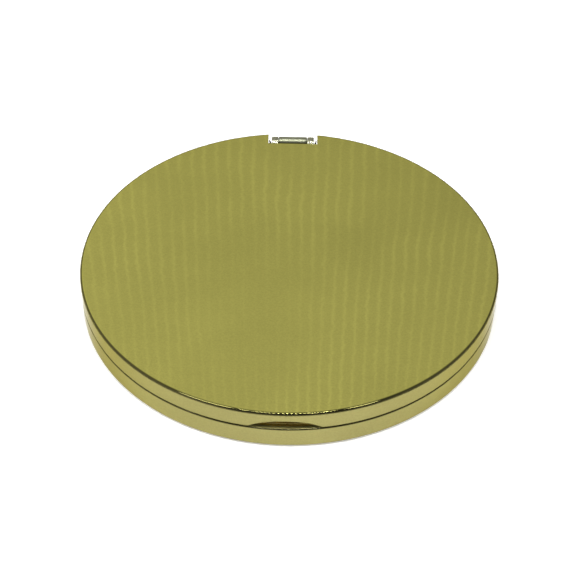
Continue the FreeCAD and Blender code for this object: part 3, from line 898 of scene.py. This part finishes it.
def make_mirror_frame():
    """Lip, flange, seat and skirt, stamped in one piece."""
    low = FRAME_LOW.z
    flange = low + FRAME_SHEET
    seat_in, seat_out = FRAME_SEAT
    outline = rounded([
        (FRAME_LIP, low, 0.12 * MM), (FRAME_FLANGE_ROW, low, 0), (FRAME_HIGH.x, low, 0.15 * MM),
        (FRAME_HIGH.x, FRAME_HIGH.z, FRAME_BEND), (FRAME_SKIRT, FRAME_HIGH.z, FRAME_BEND),
        (FRAME_SKIRT, flange, 2 * FRAME_BEND), (seat_out, flange, FRAME_BEND),
        (seat_out, FRAME_SEAT_TOP, FRAME_BEND), (seat_in, FRAME_SEAT_TOP, FRAME_BEND),
        (seat_in, flange, 0), (FRAME_LIP, flange, FRAME_BEND)], steps=5)
    ring = turned("mirror_ring", outline)
    beside, before = FRAME_NOTCH_ROOM
    notch = block("notch", (-HINGE_NOTCH_HALF - beside, HINGE_NOTCH_Y - before, 0),
                  (HINGE_NOTCH_HALF + beside, CASE_RADIUS + MM, CUT_TOP_Z))
    cut(ring, notch)
    dress(ring, "lid", "inner_brass", INNER_BRASS, "mirror_frame")


# ---- puff ----
SIM_SCALE = 20  # cloth is solved this many times larger
SIM_FRAMES = 20
SIM_VOXEL = 0.42 * MM
SIM_QUALITY = 5
PUFF_PRESSURE = 4
PUFF_SEAM_WIDTH = 1.1 * MM  # of the band that is held while the pad swells
PUFF_SEAM_Z = PUFF_LOW.z + 0.62 * (PUFF_HIGH.z - PUFF_LOW.z)
PUFF_CAP = 0.34 * MM  # farthest a point may swell
PUFF_SHRINK = 0.30 * MM  # the pad starts this much smaller than its space
PUFF_TOP_LIMIT = 5.32 * MM
PUFF_INSET = (0.16 * MM, 0.12 * MM)  # below and above, before it swells
PUFF_ROWS, PUFF_COLUMNS = 24, 180
CROWN_EDGE, CROWN_GAIN = 0.42, 0.58  # thickness at the seam, and what the middle adds
PUCKER_SHARE, PUCKER_WIDTH = 0.95, 0.035
PUCKER_DEPTH = 0.10 * MM
COVER_RADIUS = PUFF_BACK_HIGH.x - 0.5 * MM  # the satin without its corded edge
COVER_ROWS, COVER_COLUMNS = 60, 360
COVER_LIFT = 0.05 * MM
COVER_CLOTH = 0.07 * MM
COVER_CEILING = 5.42 * MM
WRINKLE_DEPTH = 0.05 * MM
PIPING_RADIUS = 0.2 * MM
PIPING_OVERLAP = 0.02 * MM
PIPING_STRANDS = 130
RIBBON_HEM = 0.5 * MM
RIBBON_CLOTH = 0.09 * MM
RIBBON_CEILING = 5.62 * MM
RIBBON_ARCH = 0.10 * MM  # the room under it for two fingers
RIBBON_FOLD = 0.035 * MM
RIBBON_SELVEDGE = 0.035 * MM


def puckers(angle, depth):
    """How far the gathered cloth sinks beside the seam, all the way round."""
    ripple = noise.noise(Vector((math.cos(angle) * 9, math.sin(angle) * 9, 2.0)))
    small = noise.noise(Vector((math.cos(angle) * 26, math.sin(angle) * 26, 5.0)))
    return depth * (0.65 * ripple + 0.35 * small)


def inflate(piece, low, high):
    """Swells a closed pad with Blender's cloth solver while its seam is held, then settles the mesh."""
    mesh = piece.data
    mesh.transform(Matrix.Scale(SIM_SCALE, 4))
    remesh = piece.modifiers.new("remesh", "REMESH")
    remesh.mode = "VOXEL"
    remesh.voxel_size = SIM_VOXEL * SIM_SCALE
    settle(piece)
    mesh = piece.data
    seam_radius = (PUFF_HIGH.x - PUFF_SEAM_WIDTH) * SIM_SCALE
    held = piece.vertex_groups.new(name="seam")
    held.add([v.index for v in mesh.vertices if math.hypot(v.co.x, v.co.y) > seam_radius], 1.0, "REPLACE")
    before = [v.co.copy() for v in mesh.vertices]
    cloth = piece.modifiers.new("cloth", "CLOTH")
    cloth.settings.quality = SIM_QUALITY
    cloth.settings.use_pressure = True
    cloth.settings.uniform_pressure_force = PUFF_PRESSURE
    cloth.settings.vertex_group_mass = held.name
    cloth.settings.effector_weights.gravity = 0
    cloth.point_cache.frame_start = 1
    cloth.point_cache.frame_end = SIM_FRAMES
    scene = bpy.context.scene
    for step in range(1, SIM_FRAMES + 1):
        scene.frame_set(step)
    graph = bpy.context.evaluated_depsgraph_get()
    after = [v.co.copy() for v in piece.evaluated_get(graph).data.vertices]
    piece.modifiers.clear()
    cap = PUFF_CAP * SIM_SCALE
    for vert, start, end in zip(mesh.vertices, before, after):
        move = end - start
        if move.length > cap:
            move *= cap / move.length
        vert.co = start + move
        vert.co.z = min(high * SIM_SCALE, max(low * SIM_SCALE, vert.co.z))
    scene.frame_set(1)
    mesh.transform(Matrix.Scale(1 / SIM_SCALE, 4))


def crown(x, y, z):
    """The pad's shape before it swells: thin at the seam, full in the middle."""
    share = min(1.0, math.hypot(x, y) / PUFF_HIGH.x)
    full = math.sqrt(max(0.0, 1 - share ** 5))
    return PUFF_SEAM_Z + (z - PUFF_SEAM_Z) * (CROWN_EDGE + CROWN_GAIN * full)


def make_puff_pad():
    low, high = PUFF_LOW.z + PUFF_INSET[0], PUFF_HIGH.z - PUFF_INSET[1]
    edge = PUFF_HIGH.x - PUFF_SHRINK
    outline = [Vector((edge * row / PUFF_ROWS, low)) for row in range(PUFF_ROWS + 1)]
    outline += [Vector((edge * (1 - row / PUFF_ROWS), high)) for row in range(PUFF_ROWS + 1)]
    pad = turned("puff_cushion", outline, shape=crown, columns=PUFF_COLUMNS)
    inflate(pad, PUFF_LOW.z, PUFF_TOP_LIMIT)
    for vert in pad.data.vertices:
        x, y, z = vert.co
        share = math.hypot(x, y) / PUFF_HIGH.x
        near = math.exp(-((share - PUCKER_SHARE) / PUCKER_WIDTH) ** 2)
        sink = puckers(math.atan2(y, x), PUCKER_DEPTH) * near
        vert.co.z = z - sink if z > PUFF_SEAM_Z else z + sink
    bpy.context.view_layer.update()
    soften = pad.modifiers.new("soften", "SMOOTH")
    soften.factor = 0.5
    soften.iterations = 3
    settle(pad)
    refine = pad.modifiers.new("refine", "SUBSURF")
    refine.levels = 1
    refine.render_levels = 1
    settle(pad)
    dress(pad, "base", "puff_velour", VELOUR, "puff_pad", sharp=180)
    return pad


def height_on(pad, x, y):
    """The top of the pad at a place, by a ray from above."""
    hit, point, _, _ = pad.ray_cast(Vector((x, y, 20 * MM)), Vector((0, 0, -1)))
    return point.z if hit else PUFF_SEAM_Z


def make_puff_back(pad):
    """A satin cover that follows the pad's crown, with a corded edge."""
    under = [Vector((COVER_RADIUS * row / COVER_ROWS, 0)) for row in range(COVER_ROWS + 1)]
    outline = under + [Vector((p.x, COVER_CLOTH)) for p in reversed(under)]

    def follow(x, y, z):
        share = math.hypot(x, y) / COVER_RADIUS
        edge = math.exp(-((share - 0.93) / 0.05) ** 2)
        wrinkle = puckers(math.atan2(y, x) + 1.0, WRINKLE_DEPTH) * edge
        return min(height_on(pad, x, y) + COVER_LIFT + wrinkle, COVER_CEILING) + z

    cover = turned("puff_cover", outline, shape=follow, columns=COVER_COLUMNS)
    near, far = COVER_RADIUS - PIPING_OVERLAP, COVER_RADIUS + 2 * PIPING_RADIUS
    top, bend = 2 * PIPING_RADIUS, PIPING_RADIUS * 0.99
    cord = rounded([(near, 0, bend), (far, 0, bend), (far, top, bend), (near, top, bend)], steps=5)
    edge_z = height_on(pad, COVER_RADIUS, 0) - 0.1 * MM

    def twist(x, y, z):
        return edge_z + z + 0.02 * MM * math.sin(math.atan2(y, x) * PIPING_STRANDS)

    piping = turned("piping", cord, shape=twist, columns=2 * COVER_COLUMNS)
    merge(cover, piping)
    dress(cover, "base", "puff_satin", SATIN, "puff_back", sharp=60)
    return cover


def make_ribbon(cover):
    """A satin band across the puff, sewn in at both ends, with a little room for two fingers."""
    half = RIBBON_HIGH.y
    reach = RIBBON_HIGH.x - RIBBON_HEM
    along, across = 150, 40
    builder = bmesh.new()
    layers = []
    for top in (0, 1):
        rows = []
        for i in range(along + 1):
            x = reach * (2 * i / along - 1)
            row = []
            for j in range(across + 1):
                v = 2 * j / across - 1
                gather = 1 - 0.05 * abs(x / reach) ** 6
                y = half * v * gather
                limit = math.sqrt(max(0.0, (COVER_RADIUS * 0.985) ** 2 - y * y))
                x_here = max(-limit, min(limit, x))
                rest = height_on(cover, x_here, y)
                arch = RIBBON_ARCH * (1 - (x / reach) ** 2)
                crease = noise.noise(Vector((x / (14 * MM), y / (1.6 * MM), 3.0)))
                fold = RIBBON_FOLD * crease * abs(x / reach)
                selvedge = RIBBON_SELVEDGE * math.exp(-((abs(v) - 0.955) / 0.02) ** 2)
                z = min(rest + 0.03 * MM + arch + fold, RIBBON_CEILING) + top * (RIBBON_CLOTH + selvedge)
                row.append(builder.verts.new((x_here, y, z)))
            rows.append(row)
        layers.append(rows)
    for top, rows in enumerate(layers):
        for i in range(along):
            for j in range(across):
                builder.faces.new([rows[i][j], rows[i + 1][j], rows[i + 1][j + 1], rows[i][j + 1]])
    rim = [(i, 0) for i in range(along)] + [(along, j) for j in range(across)]
    rim += [(i, across) for i in range(along, 0, -1)] + [(0, j) for j in range(across, 0, -1)]
    for index, (i, j) in enumerate(rim):
        k, m = rim[(index + 1) % len(rim)]
        builder.faces.new([layers[0][i][j], layers[0][k][m], layers[1][k][m], layers[1][i][j]])
    ribbon = object_from("puff_band", builder)
    dress(ribbon, "base", "ribbon_satin", RIBBON, "puff_ribbon", sharp=60)


# ---- stage ----
FLOOR_GLOW = 0.36  # the white floor is a lit table, which softens the shadow
FLOOR_HALF = 3.0
FLOOR_DROP = 0.02 * MM
OVERHEAD_SIZE = 2.4
OVERHEAD_HEIGHT = 1.6
OVERHEAD_WATTS = 9


def make_floor():
    mesh = bpy.data.meshes.new("floor")
    corners = [(x * FLOOR_HALF, y * FLOOR_HALF, 0) for x, y in ((-1, -1), (1, -1), (1, 1), (-1, 1))]
    mesh.from_pydata(corners, [], [(0, 1, 2, 3)])
    floor = add_object("floor", mesh)
    floor.location.z = -FLOOR_DROP
    material = new_material("floor_paper")
    t = Tree(material)
    tooth = t.noise(t.place(), 0.8, 3.0)
    paper = t.add("ShaderNodeBsdfDiffuse", {
        "Color": t.tint(rgba((0.9, 0.9, 0.9)), t.span(tooth, 0.2, 0.8, 0.99, 1.01))})
    glow = t.add("ShaderNodeEmission", {"Color": rgba((1.0, 1.0, 1.0)), "Strength": FLOOR_GLOW})
    both = t.add("ShaderNodeAddShader", {0: paper.outputs[0], 1: glow.outputs[0]})
    t.finish(both.outputs[0])
    mesh.materials.append(material)


# The studio's brightness by direction, as (degrees up from the back horizon, over the top, to the
# front horizon, brightness). The lid mirrors the bright part of the back to the camera.
STUDIO = ((0, 0.12), (22, 0.30), (35, 0.52), (42, 0.57), (49, 0.63), (56, 0.40), (68, 0.28), (96, 0.26),
          (108, 0.08), (124, 0.09), (142, 0.22), (160, 0.34), (180, 0.42))
SIDE_BRIGHTNESS = 0.62
STRIP_LEAN = -0.235  # the row of lamps crosses the ceiling this far before the zenith
STRIP_STEP = 0.0205  # between lamps, on a ceiling at a height of 1
STRIP_HALF = 0.235
LAMP_HALF_WIDTH = 0.0036
LAMP_HALF_DEPTH = 0.09
LAMP_BRIGHTNESS = 100.0
WINDOWS = ((-0.64, -0.28), (0.30, 0.50))  # long bright panels beyond the lamps, left and right
WINDOW_BRIGHTNESS = 22.0


def make_world():
    world = bpy.data.worlds.new("studio")
    bpy.context.scene.world = world
    t = Tree(world)
    way = t.add("ShaderNodeTexCoord").outputs["Generated"]
    x, y, z = t.split(way)
    over = t.math("DIVIDE", t.math("ARCTAN2", t.math("MAXIMUM", z, 0.0), y), math.pi)
    ramp = t.add("ShaderNodeValToRGB", {"Fac": over})
    ramp.color_ramp.interpolation = "LINEAR"
    stops = ramp.color_ramp.elements
    while len(stops) < len(STUDIO):
        stops.new(0.5)
    for stop, (degrees, bright) in zip(stops, STUDIO):
        stop.position = degrees / 180
        stop.color = (bright, bright, bright, 1)
    side = t.span(t.math("ABSOLUTE", x), 0.34, 0.80)
    level = t.mix(side, ramp.outputs["Color"], rgba((SIDE_BRIGHTNESS,) * 3))
    lean = t.span(x, -0.25, 0.25, 1.22, 0.84, "LINEAR")
    level = t.tint(level, lean)
    height = t.math("MAXIMUM", z, 0.05)
    across = t.math("DIVIDE", x, height)
    ahead = t.minus(t.math("DIVIDE", y, height), STRIP_LEAN)
    nearest = t.times(t.math("ROUND", t.math("DIVIDE", across, STRIP_STEP)), STRIP_STEP)
    off = t.math("DIVIDE", t.minus(across, nearest), LAMP_HALF_WIDTH)
    deep = t.math("DIVIDE", ahead, LAMP_HALF_DEPTH)
    reach = t.length(off, deep)
    lamp = t.span(reach, 0.6, 1.0, LAMP_BRIGHTNESS, 0.0)
    within = t.math("LESS_THAN", t.math("ABSOLUTE", across), STRIP_HALF)
    uneven = t.add("ShaderNodeTexWhiteNoise", {"W": nearest}, noise_dimensions="1D").outputs["Value"]
    within = t.times(within, t.math("MULTIPLY_ADD", uneven, 0.9, 0.3))
    lamps = t.times(lamp, within)
    for left, right in WINDOWS:
        middle, half = (left + right) / 2, (right - left) / 2
        inside = t.math("LESS_THAN", t.math("ABSOLUTE", t.minus(across, middle)), half)
        band = t.span(t.math("ABSOLUTE", deep), 0.5, 0.9, WINDOW_BRIGHTNESS, 0.0)
        lamps = t.math("ADD", lamps, t.times(inside, band))
    total = t.add("ShaderNodeVectorMath", {0: level, 1: lamps}, operation="ADD")
    back = t.add("ShaderNodeBackground", {"Color": total.outputs[0], "Strength": 1.0})
    t.add("ShaderNodeOutputWorld", {"Surface": back.outputs[0]})


def make_camera():
    data = bpy.data.cameras.new("camera")
    data.lens = LENS_MM
    data.sensor_width = SENSOR_MM
    data.clip_start = 0.01
    data.clip_end = 20
    camera = bpy.data.objects.new("camera", data)
    bpy.context.scene.collection.objects.link(camera)
    flat = math.cos(CAMERA_ELEVATION)
    back = Vector((math.sin(CAMERA_AZIMUTH) * flat, -math.cos(CAMERA_AZIMUTH) * flat,
                   math.sin(CAMERA_ELEVATION)))
    turn = (-back).to_track_quat("-Z", "Y").to_matrix().to_4x4()
    tilt = Matrix.Rotation(-LOOK_LOWER, 4, "X") @ Matrix.Rotation(-LOOK_RIGHT, 4, "Y")
    roll = Matrix.Rotation(CAMERA_ROLL, 4, "Z")
    stand = Matrix.Translation(Vector((0, 0, LID_TOP_Z)) + back * CAMERA_DISTANCE)
    camera.matrix_world = stand @ turn @ tilt @ roll
    bpy.context.scene.camera = camera


def make_lights():
    """A wide overhead light for the floor. Polished metal doesn't show it."""
    data = bpy.data.lights.new("overhead", "AREA")
    data.shape = "DISK"
    data.size = OVERHEAD_SIZE
    data.energy = OVERHEAD_WATTS
    lamp = bpy.data.objects.new("overhead", data)
    bpy.context.scene.collection.objects.link(lamp)
    lamp.location = (0, 0, OVERHEAD_HEIGHT)
    lamp.visible_glossy = False


PLAIN_NODES = {
    "pan_pad": CARD, "catch_bracket": SMALL_BRASS, "catch_spring": SPRING_STEEL, "mirror_backing": CARD,
    "lid_catch_hook": SMALL_BRASS, "hook_rivets": SMALL_BRASS,
}
for node_name, node_material in PLAIN_NODES.items():
    NODES[node_name].data.materials.clear()
    NODES[node_name].data.materials.append(node_material)

make_lid_shell()
make_base_shell()
make_base_leaf()
make_lid_leaf()
make_pin()
make_deck()
make_pan()
make_powder()
make_ring()
make_film()
make_mirror()
make_mirror_frame()
cushion = make_puff_pad()
satin_cover = make_puff_back(cushion)
make_ribbon(satin_cover)
make_floor()
make_world()
make_camera()
make_lights()
bpy.context.scene.view_settings.view_transform = "Standard"
